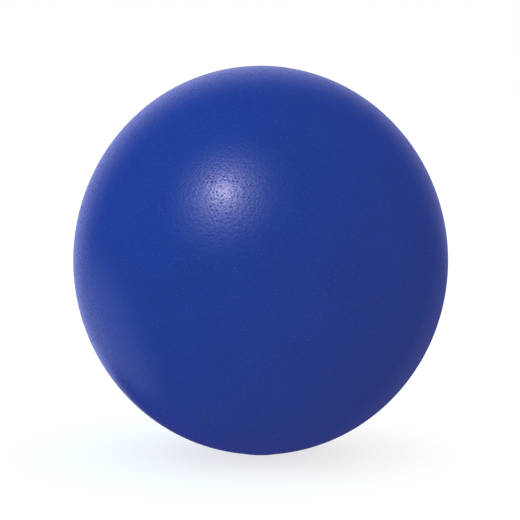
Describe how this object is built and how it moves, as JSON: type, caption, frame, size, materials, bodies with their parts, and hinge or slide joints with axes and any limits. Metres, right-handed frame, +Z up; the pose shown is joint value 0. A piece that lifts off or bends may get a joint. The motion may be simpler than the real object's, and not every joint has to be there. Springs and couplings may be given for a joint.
{
  "type": "stress ball",
  "caption": "Soft moulded foam ball with a smooth coloured coating, a painted parting line and a small flat at the cut gate that it rests on.",
  "frame": {"origin": "centre of the small flat face that the ball rests on, where its pour gate was cut", "axes": "+Z up along the ball's long axis, -Y to the front, the mould's parting line in the XZ plane"},
  "size_m": [0.0636, 0.0636, 0.0658],
  "materials": {
    "coating": "satin royal blue in-mould coating with fine pinholes",
    "touch_up_paint": "brushed touch-up paint, a little duller than the coating",
    "foam_skin": "dense, matte, nearly closed foam skin",
    "foam_core": "matte open-celled foam"
  },
  "bodies": {
    "core": {"foam_core": "foam_core", "foam_skin": "foam_skin", "seam_touch_up": "touch_up_paint", "gate_touch_up": "touch_up_paint"},
    "front": {"coat_front": "coating"},
    "rear": {"coat_rear": "coating"}
  },
  "joints": [
    {"name": "squeeze_front", "type": "slide", "parent": "core", "child": "front", "axis": [0, 1, 0], "range_m": [0, 0.016], "stiffness_N_per_m": 3750, "deforming": ["coat_front", "foam_skin", "foam_core", "seam_touch_up"]},
    {"name": "squeeze_rear", "type": "slide", "parent": "core", "child": "rear", "axis": [0, -1, 0], "range_m": [0, 0.016], "stiffness_N_per_m": 3750, "deforming": ["coat_rear"]}
  ],
  "couplings": [
    {"joint": "squeeze_rear", "follows": "squeeze_front", "ratio": 1}
  ]
}
